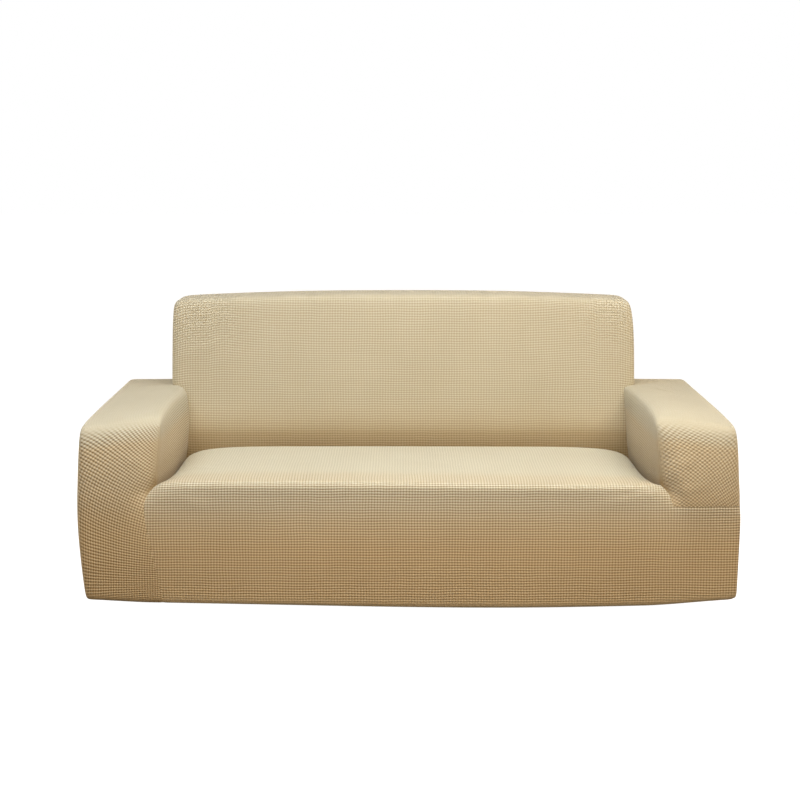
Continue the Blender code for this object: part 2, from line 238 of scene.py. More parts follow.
# %% Open the underside
corner_crease = cage.verts.layers.float.new("crease_vert")
cage.normal_update()
middle_faces = []
for face in cage.faces[:]:
    middle = face.calc_center_median()
    if face.normal.z > -STEEP:
        continue
    at_side = abs(middle.x) > WIDTH / 2 - OUTER_ROUND
    at_end = middle.y < ARM_ROUND or middle.y > DEPTH - REAR_ROUND
    if at_side and at_end:
        ends = sorted(face.verts, key=lambda v: abs(v.co.x) + abs(v.co.y - DEPTH / 2))
        bmesh.utils.face_split(face, ends[0], ends[-1])
        ends[0][corner_crease] = 1.0
    elif not at_side and not at_end:
        middle_faces.append(face)
bmesh.ops.delete(cage, geom=middle_faces, context="FACES")
print("open underside: removed", len(middle_faces), "faces")

# %% [markdown]
# ## Which cloth each face belongs to
# A maker cuts the seat and front as one cloth, each arm as one, and the backrest and the rear
# as one each. The left arm's cloth runs down to the hem in front, and the right arm's ends in
# a cross seam at seat height. A face's number says its cloth, and seams that are tucked in
# beside the seat get a crease, so that subdivision keeps them sharp.

# %% Name the cloths
SEAT, ARM_L, ARM_R, BACK, REAR = range(5)
CLOTHS = {
    # cloth: name of the new piece, frame node that it replaces
    SEAT: ("seat_front_cloth", "seat_front_panel"),
    ARM_L: ("arm_cloth_left", "arm_cover_left"),
    ARM_R: ("arm_cloth_right", "arm_cover_right"),
    BACK: ("back_cloth", "back_cover"),
    REAR: ("rear_cloth", "rear_panel"),
}


def cloth_of(face):
    middle = face.calc_center_median()
    arm = ARM_L if middle.x < 0.0 else ARM_R
    left_front = middle.x < -ARM_INNER_X
    if face.normal.z < -STEEP:
        to_side = WIDTH / 2 - abs(middle.x)
        from_rear = DEPTH - middle.y
        if from_rear < REAR_ROUND and from_rear < to_side * REAR_ROUND / OUTER_ROUND:
            return REAR
        in_front = middle.y < ARM_ROUND and middle.y < to_side * ARM_ROUND / OUTER_ROUND
        return SEAT if in_front and not left_front else arm
    if face.normal.y > STEEP:
        return REAR
    if face.normal.z > STEEP:
        if middle.z > ARM_HEIGHT + TINY:
            return BACK
        return arm if middle.z > SEAT_HEIGHT + TINY else SEAT
    if face.normal.y < -STEEP:
        if middle.y > TINY:
            return BACK
        right_arm = middle.x > ARM_INNER_X and middle.z > SEAM_HEIGHT
        return arm if left_front or right_arm else SEAT
    return BACK if middle.z > ARM_HEIGHT else arm


cage.normal_update()
for face in cage.faces:
    face.material_index = cloth_of(face)
    face.smooth = True
print("cage faces of the seat cloth:", sum(not face.material_index for face in cage.faces))

# %% Crease the tucks
CORNER_CREASE = 0.6


def is_valley(edge):
    if len(edge.link_faces) != 2:
        return False
    one, other = edge.link_faces
    across = other.calc_center_median() - one.calc_center_median()
    return one.normal.dot(across) > TINY and other.normal.dot(across) < -TINY


crease = cage.edges.layers.float.new("crease_edge")
for edge in cage.edges:
    if len({face.material_index for face in edge.link_faces}) < 2:
        continue
    middle = (edge.verts[0].co + edge.verts[1].co) / 2
    beside_arm = abs(abs(middle.x) - ARM_INNER_X) < TINY
    if is_valley(edge) and middle.y < DEPTH - REAR_ROUND:
        edge[crease] = 1.0
    elif middle.y < TINY and beside_arm and SEAM_HEIGHT < middle.z < SEAT_HEIGHT:
        edge[crease] = 1.0
    elif middle.y < TINY and abs(middle.x) > WIDTH / 2 - TINY and middle.z < SEAM_HEIGHT:
        edge[crease] = CORNER_CREASE
print("creased edges:", sum(edge[crease] > 0.0 for edge in cage.edges))

# %% [markdown]
# ## The same cover every time
# Blender's cutting tools hand back points, edges and faces in an order that changes from run to
# run, and small rounding differences follow from it. A model that is built again should come
# out the same, so the parts are put in the order of their places on the cage. Later each edge
# is also made to run from its lower point number to its higher one.

# %% Put the cage's parts in order
PER_METRE = 1000
ORDER_STEP = 10000


def order_of(verts):
    """One number for the place of a point, or of the points of an edge or a face."""
    x, y, z = (round(PER_METRE * c) for c in sum((vert.co for vert in verts), Vector()))
    return float((x * ORDER_STEP + y) * ORDER_STEP + z)


cage.verts.sort(key=lambda vert: order_of([vert]))
cage.edges.sort(key=lambda edge: order_of(edge.verts))
cage.faces.sort(key=lambda face: order_of(face.verts))
for parts in (cage.verts, cage.edges, cage.faces):
    parts.index_update()
print("first point of the cage:", cage.verts[:][0].co[:])

# %% [markdown]
# ## From box to fitted cover
# Upholstery bows: the backrest leans and crowns, the seat swells, the arms drop to the rear
# and the front face bellies out. Each of these is one soft term added to a point's place,
# worked out from where the point sits on the straight cage. The arms' front top edges are
# wide soft rounds, and the tucks push their seam down beside and behind the seat. Each point
# also remembers its straight place, for all that is laid on the cloth later.

# %% How far the forms bow, in metres
BACK_LEAN = 0.078
BACK_CROWN = 0.022
BACK_TOP_DROOP = 0.020
BACK_SHIFT = 0.012
ARM_DROP_TO_REAR = 0.022
ARM_DROP_OUTWARDS = 0.032
SEAT_SWELL = 0.012
SEAT_SLOPE = 0.010
TUCK_LIP = 0.008
FRONT_BELLY = 0.014
ARM_FRONT_BELLY = 0.010
REAR_BELLY = 0.006
REAR_HEM_SHARE = 0.6
print("the backrest leans", BACK_LEAN * 1000, "mm and the seat swells", SEAT_SWELL * 1000, "mm")

# %% Where the forms start and stop to bow
CROWN_SPAN = (SEAT_HEIGHT, BACK_HEIGHT + 0.10)
SWELL_SPAN = (-0.10, SEAT_DEPTH)
SLOPE_SPAN = (-0.30, 0.40)
BELLY_SPAN = (HEM_HEIGHT - 0.25, SEAT_HEIGHT + 0.12)
HEM_SPAN = (HEM_HEIGHT, HEM_HEIGHT + 0.12)
print("the front is fullest", round(sum(BELLY_SPAN) / 2, 3), "m above the floor")

# %% Narrow the arms' foot


def narrowed(place):
    """How far the arm's inner edge moves outwards near the cross seam."""
    reach = abs(place.x)
    if place.z >= ARM_NARROWING[-1][0] or reach < TINY:
        return 0.0
    shift = read(ARM_NARROWING, place.z) * ease(place.z, HEM_HEIGHT, SEAM_HEIGHT)
    if reach >= ARM_INNER_X:
        spread = (WIDTH / 2 - reach) / ARM_WIDTH
    else:
        spread = ease(reach, SEAT_X, ARM_INNER_X)
    return math.copysign(shift * spread * (1.0 - ease(place.y, 0.0, FRONT_SEAT_Y)), place.x)


at_seam = Vector((ARM_INNER_X, 0.0, SEAM_HEIGHT))
print("at the cross seam an arm is narrower by", round(narrowed(at_seam) * 1000), "mm")

# %% Bow the forms


def bowed(place):
    """Where a point of the straight cage lies on the fitted cover."""
    out = place.copy()
    reach = abs(place.x)
    side = math.copysign(1.0, place.x)
    column = 1 if side < 0.0 else 2
    from_back = place.y - SEAT_DEPTH
    if place.z > SEAT_HEIGHT + TINY and min(abs(from_back), abs(from_back - BACK_ROUND)) < TINY:
        crown = 1.0 - (min(reach, BACK_SIDE_X) / BACK_SIDE_X) ** 2
        out.y += BACK_LEAN * (place.z - SEAT_HEIGHT) / (BACK_HEIGHT - SEAT_HEIGHT)
        out.y -= BACK_CROWN * crown * hump(place.z, *CROWN_SPAN)
    if reach < BACK_SIDE_X + TINY and from_back > -TINY:
        if place.z > BACK_HEIGHT - TINY:
            out.z -= BACK_TOP_DROOP * (reach / BACK_SIDE_X) ** 4
        if place.z > ARM_HEIGHT - TINY:
            out.x -= BACK_SHIFT
            if reach > BACK_SIDE_X - TINY:
                out.x -= side * read(BACK_ENDS, place.z, column)
    near_top = ARM_HEIGHT - ARM_ROUND - TINY < place.z < ARM_HEIGHT + TINY
    if reach > ARM_INNER_X - TINY and near_top:
        outwards = ease(reach, BACK_SIDE_X, WIDTH / 2)
        out.z -= ARM_DROP_TO_REAR * place.y / DEPTH
        out.z -= ARM_DROP_OUTWARDS * outwards * (1.0 - place.y / DEPTH)
    on_seat = abs(place.z - SEAT_HEIGHT) < TINY and reach < ARM_INNER_X - TINY
    if on_seat and place.y < SEAT_DEPTH - TINY:
        swell = 1.0 - (reach / ARM_INNER_X) ** 2
        out.z += SEAT_SWELL * swell * hump(place.y, *SWELL_SPAN)
        out.z -= SEAT_SLOPE * ease(place.x, *SLOPE_SPAN) * (1.0 - place.y / SEAT_DEPTH)
        beside_tuck = max(reach - ARM_INNER_X, from_back) > -TUCK_MARGIN - TINY
        if beside_tuck and place.y > TINY:
            out.z += TUCK_LIP
    if abs(place.y) < TINY:
        belly = 1.0 - (reach / (WIDTH / 2)) ** 2
        out.y -= FRONT_BELLY * belly * hump(place.z, *BELLY_SPAN)
        if place.z > SEAM_HEIGHT:
            out.y -= ARM_FRONT_BELLY * hump(reach, ARM_INNER_X, WIDTH / 2)
    if abs(place.y - DEPTH) < TINY:
        out.y += REAR_BELLY * hump(place.z, HEM_HEIGHT, BACK_HEIGHT)
    if reach > WIDTH / 2 - TINY:
        out.x += side * read(SIDE_SWELL, place.z, column)
    near_hem = 1.0 - ease(place.z, *HEM_SPAN)
    out.z -= read(HEM_LINE, place.x) * near_hem * (1.0 - REAR_HEM_SHARE * place.y / DEPTH)
    out.x += narrowed(place)
    return out


print("the middle of the front's foot goes to", bowed(Vector((0.0, 0.0, HEM_HEIGHT))))

# %% Round the arms' front tops
EDGE_PUSH = 0.030
BESIDE_EDGE_PUSH = 0.010
OUTER_CORNER_SPAN = (0.79, WIDTH / 2)
OUTER_CORNER_SHARE = 0.8


def softened(place):
    """How far the front top edge of an arm is pushed back and down to round it."""
    push = Vector((0.0, 0.0, 0.0))
    reach = abs(place.x)
    on_top = abs(place.z - ARM_HEIGHT) < TINY
    if reach < ARM_INNER_X - TINY:
        return push
    soft = 1.0 - OUTER_CORNER_SHARE * ease(reach, *OUTER_CORNER_SPAN)
    if on_top and place.y < TINY:
        push.y = EDGE_PUSH * soft
        push.z = -EDGE_PUSH * soft
    elif on_top and abs(place.y - ARM_ROUND) < TINY:
        push.z = -BESIDE_EDGE_PUSH * soft
    elif place.y < TINY and abs(place.z - ARM_HEIGHT + ARM_ROUND) < TINY:
        push.y = BESIDE_EDGE_PUSH * soft
    return push


print("an arm's top edge is pushed", EDGE_PUSH * 1000, "mm back and down")

# %% Push in the tucks
TUCK_DEPTH = 0.046
TUCK_SHIFT = 0.010
TUCK_SPAN = (-0.04, 0.12)
SEAM_DIP = 0.026
DIP_SPAN = (SEAM_HEIGHT, 2.0 * SEAT_HEIGHT - SEAM_HEIGHT)


def tucked(place):
    """How far a tucked seam is pushed in between seat, arm and backrest."""
    reach = abs(place.x)
    side = math.copysign(1.0, place.x)
    push = Vector((0.0, 0.0, 0.0))
    beside_arm = abs(reach - ARM_INNER_X) < TINY and place.y < SEAT_DEPTH + TINY
    below_back = abs(place.y - SEAT_DEPTH) < TINY and reach < ARM_INNER_X + TINY
    if abs(place.z - SEAT_HEIGHT) < TINY and (beside_arm or below_back):
        deep = ease(place.y, *TUCK_SPAN)
        push.z -= TUCK_DEPTH * deep
        if beside_arm:
            push.x += side * TUCK_SHIFT * (2.0 * deep - 1.0)
        if below_back:
            push.y += TUCK_SHIFT
    if beside_arm and place.y < TINY:
        push.y += SEAM_DIP * hump(place.z, *DIP_SPAN)
    return push


print("the tucks go down by", TUCK_DEPTH * 1000, "mm")

# %% Bend the cage
straight = cage.verts.layers.float_vector.new("straight")
for vert in cage.verts:
    place = vert.co.copy()
    vert[straight] = place
    vert.co = bowed(place) + softened(place) + tucked(place)
heights = [vert.co.z for vert in cage.verts]
print("bowed cage from", round(min(heights), 3), "to", round(max(heights), 3), "m high")

# %% [markdown]
# ## The skin
# Subdivision rounds the cage into one smooth skin. Three levels give a few millimetres between
# points at the tucks, but centimetres in the wide faces, so there the long edges are cut once
# more, a whole strip at a time, until a soft pull of cloth can be shaped anywhere.

# %% Round the cage
LEVELS = 3
LONGEST = 0.014
LONGER_BY = 0.05
ALONG_AXIS = 0.9


def dice(bm, axis):
    """Cut every edge that runs along an axis and is longer than LONGEST."""
    layer = bm.verts.layers.float_vector["straight"]
    strips = {}
    for edge in bm.edges:
        run = Vector(edge.verts[1][layer]) - Vector(edge.verts[0][layer])
        pieces = math.ceil(abs(run[axis]) / LONGEST - LONGER_BY)
        if pieces > 1 and abs(run[axis]) > ALONG_AXIS * run.length:
            strips.setdefault(pieces, []).append(edge)
    for pieces, edges in strips.items():
        bmesh.ops.subdivide_edges(bm, edges=edges, cuts=pieces - 1, use_grid_fill=True)


cage_mesh = bpy.data.meshes.new("cage")
cage.to_mesh(cage_mesh)
cage.free()
for edge in cage_mesh.edges:
    edge.vertices = sorted(edge.vertices)
cage_object = bpy.data.objects.new("cage", cage_mesh)
bpy.context.collection.objects.link(cage_object)
rounding = cage_object.modifiers.new("rounding", "SUBSURF")
rounding.levels = LEVELS
rounding.render_levels = LEVELS
graph = bpy.context.evaluated_depsgraph_get()
skin_mesh = bpy.data.meshes.new_from_object(cage_object.evaluated_get(graph))
bpy.data.objects.remove(cage_object, do_unlink=True)

skin = bmesh.new()
skin.from_mesh(skin_mesh)
print("skin:", len(skin.faces), "faces")
for axis in range(3):
    dice(skin, axis)
print("diced skin:", len(skin.faces), "faces")

# %% [markdown]
# ## Soft pulls
# A stretched knit shows few folds, only shallow pulls that run out from where it is tucked
# or caught: at the front end of each tuck, at the backrest's ends and along the seat's edge.
# A simulation would smooth these away on so tight a cover, so they are listed one by one. Each
# row is one pull: a line on the straight cage, its height above the cloth (or depth below
# it), and half its width. A point moves along its normal by how near the line it lies.

# %% Lay the pulls
PULLS = [
    # from x, y, z, to x, y, z, height, half width
    (0.628, 0.030, 0.442, 0.560, 0.000, 0.418, 0.0022, 0.010),
    (0.630, 0.000, 0.432, 0.540, 0.000, 0.404, -0.0018, 0.009),
    (0.633, 0.000, 0.412, 0.470, 0.000, 0.384, 0.0016, 0.012),
    (0.620, 0.120, 0.442, 0.560, 0.060, 0.442, 0.0018, 0.012),
    (0.620, 0.300, 0.442, 0.520, 0.240, 0.442, 0.0016, 0.016),
    (-0.628, 0.030, 0.442, -0.555, 0.000, 0.416, 0.0022, 0.011),
    (-0.633, 0.000, 0.410, -0.480, 0.000, 0.380, 0.0016, 0.013),
    (-0.620, 0.220, 0.442, -0.530, 0.150, 0.442, 0.0016, 0.015),
    (0.640, 0.000, 0.440, 0.720, 0.000, 0.505, 0.0015, 0.012),
    (0.640, 0.000, 0.410, 0.760, 0.000, 0.440, 0.0012, 0.014),
    (-0.640, 0.000, 0.440, -0.715, 0.000, 0.510, 0.0015, 0.012),
    (-0.660, 0.588, 0.660, -0.560, 0.588, 0.760, 0.0016, 0.018),
    (-0.660, 0.588, 0.640, -0.480, 0.588, 0.690, 0.0014, 0.020),
    (0.660, 0.588, 0.650, 0.540, 0.588, 0.770, 0.0016, 0.018),
    (-0.600, 0.588, 0.470, -0.500, 0.588, 0.530, 0.0016, 0.016),
    (0.600, 0.588, 0.470, 0.470, 0.588, 0.540, 0.0016, 0.018),
    (-0.690, 0.588, 0.624, -0.740, 0.500, 0.624, 0.0020, 0.012),
    (-0.680, 0.640, 0.624, -0.780, 0.600, 0.624, -0.0020, 0.014),
    (0.690, 0.588, 0.624, 0.750, 0.520, 0.624, 0.0020, 0.012),
    (0.855, 0.700, 0.600, 0.855, 0.480, 0.420, 0.0020, 0.020),
    (-0.855, 0.720, 0.600, -0.855, 0.520, 0.400, 0.0020, 0.020),
    (-0.855, 0.120, 0.180, -0.855, 0.320, 0.330, 0.0016, 0.020),
    (0.855, 0.120, 0.390, 0.855, 0.300, 0.330, 0.0016, 0.016),
    (-0.640, 0.840, 0.620, -0.420, 0.840, 0.480, 0.0022, 0.022),
    (0.640, 0.840, 0.620, 0.440, 0.840, 0.500, 0.0022, 0.022),
    (-0.300, 0.840, 0.850, -0.240, 0.840, 0.640, 0.0014, 0.024),
    (0.200, 0.840, 0.135, 0.280, 0.840, 0.300, 0.0014, 0.024),
]


PULL_ENDS = (-0.1, 1.1)
FADED_OUT = 3.0


def lay_pull(bm, start, end, height, half_width):
    """Raise or sink the skin along a line, softly across it and fading out at both ends."""
    layer = bm.verts.layers.float_vector["straight"]
    run = end - start
    for vert in bm.verts:
        way = Vector(vert[layer]) - start
        share = way.dot(run) / run.length_squared
        if not PULL_ENDS[0] < share < PULL_ENDS[1]:
            continue
        off = (way - run * share).length / half_width
        if off < FADED_OUT:
            vert.co += vert.normal * height * hump(share, *PULL_ENDS) * math.exp(-off * off)


skin.normal_update()
for x1, y1, z1, x2, y2, z2, height, half_width in PULLS:
    lay_pull(skin, Vector((x1, y1, z1)), Vector((x2, y2, z2)), height, half_width)
print("laid", len(PULLS), "pulls")

# %% [markdown]
# ## Seams
# Where two cloths are joined, the seam allowance draws the knit in and leaves a shallow
# trough, a little puckered. The trough is made on the whole skin before it is cut apart, so
# that both sides of a seam follow each other. Tucked seams are left as they are.

# %% Sink the seams
SEAM_DEPTH = 0.0007
SEAM_WIDTH = 0.0050

straight = skin.verts.layers.float_vector["straight"]
on_seams = []
for edge in skin.edges:
    cloths = {face.material_index for face in edge.link_faces}
    middle = (Vector(edge.verts[0][straight]) + Vector(edge.verts[1][straight])) / 2
    tuck = middle.y > TINY and abs(middle.z - SEAT_HEIGHT) < TINY
    if len(cloths) == 2 and not tuck:
        on_seams.append((edge.verts[0].co + edge.verts[1].co) / 2)
        on_seams.extend(vert.co.copy() for vert in edge.verts)
tree = KDTree(len(on_seams))
for number, place in enumerate(on_seams):
    tree.insert(place, number)
tree.balance()
skin.normal_update()
for vert in skin.verts:
    away = tree.find(vert.co)[2] / SEAM_WIDTH
    if away < FADED_OUT:
        vert.co -= vert.normal * SEAM_DEPTH * math.exp(-away * away)
print("seam points:", len(on_seams))

# %% [markdown]
# ## The grain
# A knit's rows and columns follow the way the cloth is pulled, and on this cover that shows
# more than any fold. So each cloth gets a UV map in metres, where u counts across its columns
# and v across its rows. The cover needs four lay-outs: level over front, seat and backrest,
# wrapped round an arm, folded round the backrest's ends, and swung on the arm fronts.
# Unwrapping would even out the stretch but not keep the rows level, so each line of points is
# measured along the skin.

# %% Choose a lay-out
LEVEL, WRAP, END, SWUNG = range(4)
MIDDLE_COLUMN = 2.0


def layout_of(cloth, normal):
    """How the knit lies on a face of the straight cage."""
    if cloth in (ARM_L, ARM_R):
        return SWUNG if normal.y < -STEEP else WRAP
    return END if cloth == BACK and abs(normal.x) > STEEP else LEVEL


def straight_counts(cloth, layout, normal, place):
    """Columns and rows at a place, as if the cage's own lengths were the cloth's."""
    side = math.copysign(1.0, place.x)
    if layout == END:
        return side * (BACK_SIDE_X + place.y - SEAT_DEPTH) + MIDDLE_COLUMN, place.z
    if layout == LEVEL:
        column = place.x + MIDDLE_COLUMN
        if normal.z < -STEEP:
            return column, HEM_HEIGHT - min(place.y, DEPTH - place.y)
        backwards = {SEAT: place.y, BACK: place.y - SEAT_DEPTH, REAR: 0.0}[cloth]
        return column, place.z + backwards
    column = side * place.y + MIDDLE_COLUMN
    if normal.z < -STEEP:
        return column, HEM_HEIGHT - WIDTH / 2 + abs(place.x)
    if normal.z > STEEP:
        return column, ARM_HEIGHT + WIDTH / 2 - abs(place.x)
    if normal.x * side < 0.0:
        return column, 2.0 * ARM_HEIGHT + ARM_WIDTH - place.z
    return column, place.z


print("the arms' knit runs", round(ARM_HEIGHT + ARM_WIDTH, 3), "m up and over")

# %% Measure along the skin
LINE_GAP = 4e-5


def line_numbers(values):
    """Number the lines that a set of nearly equal places falls on."""
    numbers = {}
    number, last = 0, None
    for value in sorted(set(values)):
        if last is not None and value - last > LINE_GAP:
            number += 1
        numbers[value] = number
        last = value
    return numbers


def measured(counts, axis, anchor, start):
    """Lengths along the skin in one direction, for points that have straight counts.

    Each line of points is walked from the one nearest the anchor, whose length start gives.
    """
    across = line_numbers(pair[1 - axis] for pair in counts.values())
    lines = {}
    for vert, pair in counts.items():
        lines.setdefault(across[pair[1 - axis]], []).append((pair[axis], vert.index, vert))
    lengths = {}
    for line in lines.values():
        line.sort()
        first = min(range(len(line)), key=lambda number: abs(line[number][0] - anchor))
        for step in (-1, 1):
            vert = line[first][2]
            length = start(vert.co)
            lengths[vert] = length
            number = first + step
            while 0 <= number < len(line):
                following = line[number][2]
                length += step * (following.co - vert.co).length
                lengths[following] = length
                vert = following
                number += step
    return lengths


print("lines closer than", LINE_GAP * 1000, "mm count as one")

# %% [markdown]
# ## The arm fronts' swing
# On the arm fronts the whole grid swings: it is level at the hem and leans by up to forty
# degrees towards the top, because the cloth is dragged in to the tuck. The swing is written as
# two short sums of powers of the distance from the arm's outer edge and the height above the
# hem. Near the backrest's ends the rows sag a little, which a short table gives.

# %% Swing the arm fronts' grid
SWING = {
    # side: [(power of distance, power of height, share in the rows, share in the columns)]
    -1: [
        (1, 0, -0.16, 0.0),
        (1, 1, 5.33, 1.11),
        (1, 2, -9.57, -5.34),
        (2, 1, -6.24, -2.66),
        (2, 2, 16.99, 8.18),
        (3, 2, 25.2, 0.0),
        (0, 1, 0.0, -0.14),
        (0, 2, 0.0, 1.05),
        (0, 3, 0.0, -2.58),
    ],
    1: [
        (1, 0, 0.56, 0.0),
        (1, 1, 0.14, 8.28),
        (1, 2, 1.02, -22.46),
        (2, 1, 12.48, -35.4),
        (2, 2, -36.4, 85.09),
        (3, 2, 16.92, 0.0),
        (0, 1, 0.0, -4.62),
        (0, 2, 0.0, 11.24),
        (0, 3, 0.0, -9.85),
    ],
}
ARM_ROWS = 0.73
ARM_COLUMNS = {-1: 1.10, 1: 0.84}


def swung(point):
    """Columns and rows at a point of an arm's front face."""
    side = -1 if point.x < 0.0 else 1
    inward = WIDTH / 2 - abs(point.x)
    height = point.z - HEM_HEIGHT
    across, up = inward, height
    for distance_power, height_power, in_rows, in_columns in SWING[side]:
        term = inward**distance_power * height**height_power
        up += in_rows * term
        across += in_columns * term
    return across * ARM_COLUMNS[side], up * ARM_ROWS


print("grain on the left arm front, halfway:", swung(Vector((-0.75, 0.0, 0.40))))

# %% Lay out the grain
BACK_STRETCH = 0.965
SAG_SPAN = (0.58, 0.93)
END_SAG = [
    # distance from the backrest's end, height of a row there above or below its middle
    (0.000, -0.026),
    (0.050, -0.012),
    (0.085, -0.004),
    (0.130, 0.000),
    (0.200, -0.004),
    (0.300, -0.009),
    (0.450, -0.011),
]


def lay_grain(bm, cloth):
    """Give a cloth its UV map, one lay-out after the other."""
    straight = bm.verts.layers.float_vector["straight"]
    weave = bm.loops.layers.uv.new("cloth")
    bm.verts.index_update()
    groups = {}
    for face in bm.faces:
        corners = [Vector(vert[straight]) for vert in face.verts]
        normal = (corners[2] - corners[0]).cross(corners[3] - corners[1]).normalized()
        groups.setdefault(layout_of(cloth, normal), []).append((face, normal, corners))
    for layout, faces in groups.items():
        if layout == SWUNG:
            for face, _, _ in faces:
                for loop in face.loops:
                    loop[weave].uv = swung(loop.vert.co)
            continue
        counts = {}
        for face, normal, corners in faces:
            for vert, place in zip(face.verts, corners):
                counts[vert] = straight_counts(cloth, layout, normal, place)
        first_row = UPPER_BACK_Z if cloth == BACK else DROP_Z
        rows = measured(counts, 1, first_row, lambda point: point.z)
        if layout == WRAP:
            side = -1.0 if cloth == ARM_L else 1.0
            first_column = side * FRONT_SEAT_Y + MIDDLE_COLUMN
            columns = measured(
                counts, 0, first_column, lambda point: side * point.y + MIDDLE_COLUMN
            )
        else:
            columns = measured(counts, 0, MIDDLE_COLUMN, lambda point: point.x + MIDDLE_COLUMN)
        for face, _, corners in faces:
            for loop, place in zip(face.loops, corners):
                column, row = columns[loop.vert], rows[loop.vert]
                if cloth == BACK:
                    from_end = BACK_SIDE_X - abs(place.x)
                    sag = read(END_SAG, from_end) * hump(place.z, *SAG_SPAN)
                    column, row = column * BACK_STRETCH, (row - sag) * BACK_STRETCH
                loop[weave].uv = (column, row)


print("at the backrest's ends the rows lie", -END_SAG[0][1] * 1000, "mm lower")

# %% [markdown]
# ## Where the knit lies flat
# Stretched hard over an edge, the waffle opens and nearly vanishes: on the arm tops, along the
# hem and on the arms' rounded corners, and by half on the seat and along the backrest's top. A
# number at each point, from 0 for full relief to 1 for none, says so, and the material reads
# it. Painting it by hand would do as well, but the straight cage already knows how near each
# edge is.

# %% Measure the calm
ARM_TOP_CALM = 0.92
CORNER_CALM = 0.7
SEAT_CALM = 0.45
BACK_TOP_CALM = 0.5
HEM_RISE = (HEM_HEIGHT + 0.004, HEM_HEIGHT + 0.014)
ARM_TOP_RISE = (ARM_HEIGHT - 0.052, ARM_HEIGHT - 0.004)
OUTER_RISE = (WIDTH / 2 - 0.012, WIDTH / 2 - 0.002)
INNER_FALL = (ARM_INNER_X + 0.004, ARM_INNER_X + 0.022)
SEAM_RISE = (SEAM_HEIGHT, SEAM_HEIGHT + 0.03)
FRONT_FALL = (0.0, 0.05)
SEAT_TOP_RISE = (SEAT_HEIGHT - 0.006, SEAT_HEIGHT)
SEAT_EDGE_END = 0.14
BACK_TOP_RISE = (BACK_HEIGHT - 0.016, BACK_HEIGHT)


def calm_of(cloth, place):
    """How flat the weave lies at a place on the straight cage, from 0 to 1."""
    reach = abs(place.x)
    hem = 1.0 - ease(place.z, *HEM_RISE)
    if cloth in (ARM_L, ARM_R):
        to_top = ease(place.z, *ARM_TOP_RISE)
        to_outer = ease(reach, *OUTER_RISE)
        to_inner = (1.0 - ease(reach, *INNER_FALL)) * ease(place.z, *SEAM_RISE)
        at_front = 1.0 - ease(place.y, *FRONT_FALL)
        return max(hem, ARM_TOP_CALM * to_top, at_front * CORNER_CALM * max(to_outer, to_inner))
    if cloth == SEAT:
        on_top = ease(place.z, *SEAT_TOP_RISE)
        return max(hem, SEAT_CALM * on_top * ease(place.y, 0.0, SEAT_EDGE_END))
    if cloth == BACK:
        return BACK_TOP_CALM * ease(place.z, *BACK_TOP_RISE)
    return hem


print("calm on an arm top:", calm_of(ARM_L, Vector((-0.75, 0.3, ARM_HEIGHT))))

# %% [markdown]
# ## Painted light and painted shade
# The tops, the backrest's face and the upper front are painted paler and greyer than the lower
# fronts, as painted light where the lamps fall on them most. The tucks round the seat, the
# backrest's foot, the arms' inner faces and the cloth near the hem are painted browner, as
# painted shade. Two more numbers at each point, from 0 to 1, give both, mostly by height.

# %% Measure the painted light
BACK_PAINTED_LIGHT, BACK_PAINTED_LIGHT_GAIN, BACK_PAINTED_LIGHT_SPAN = 0.55, 0.35, (SEAT_HEIGHT, 0.60)
DROP_PAINTED_LIGHT, DROP_PAINTED_LIGHT_SPAN = 0.95, (0.27, 0.45)
DECK_PAINTED_LIGHT, DECK_PAINTED_LIGHT_GAIN, DECK_PAINTED_LIGHT_SPAN = 0.75, 0.25, (0.04, SEAT_EDGE_END)
ARM_PAINTED_LIGHT, ARM_PAINTED_LIGHT_SPAN, ARM_TOP_PAINTED_LIGHT_SPAN = 0.45, (DROP_Z, 0.46), (0.50, 0.60)


def painted_light_of(cloth, place):
    """How much painted light makes the yarn paler and greyer at a place on the straight cage,
    from 0 to 1.
    """
    if cloth == BACK:
        return BACK_PAINTED_LIGHT + BACK_PAINTED_LIGHT_GAIN * ease(place.z, *BACK_PAINTED_LIGHT_SPAN)
    if cloth == SEAT:
        if place.y < TINY:
            return DROP_PAINTED_LIGHT * ease(place.z, *DROP_PAINTED_LIGHT_SPAN)
        return DECK_PAINTED_LIGHT + DECK_PAINTED_LIGHT_GAIN * ease(place.y, *DECK_PAINTED_LIGHT_SPAN)
    if cloth in (ARM_L, ARM_R):
        return max(ARM_PAINTED_LIGHT * ease(place.z, *ARM_PAINTED_LIGHT_SPAN), ease(place.z, *ARM_TOP_PAINTED_LIGHT_SPAN))
    return 0.0


print("painted_light_share halfway up the front:", round(painted_light_of(SEAT, Vector((0.0, 0.0, 0.37))), 2))

# %% Measure the painted shade
PAINTED_SHADE_HEIGHT = 0.15
BACK_PAINTED_SHADE_POWER = 3.5
INNER_ARM_PAINTED_SHADE, INNER_ARM_PAINTED_SHADE_POWER = 0.5, 3
TUCK_PAINTED_SHADE, TUCK_PAINTED_SHADE_WIDTH = 0.95, 0.014
LOW_PAINTED_SHADE, LEFT_ARM_LOW_PAINTED_SHADE, LOW_PAINTED_SHADE_SPAN = 0.12, 0.30, (HEM_HEIGHT, 0.42)


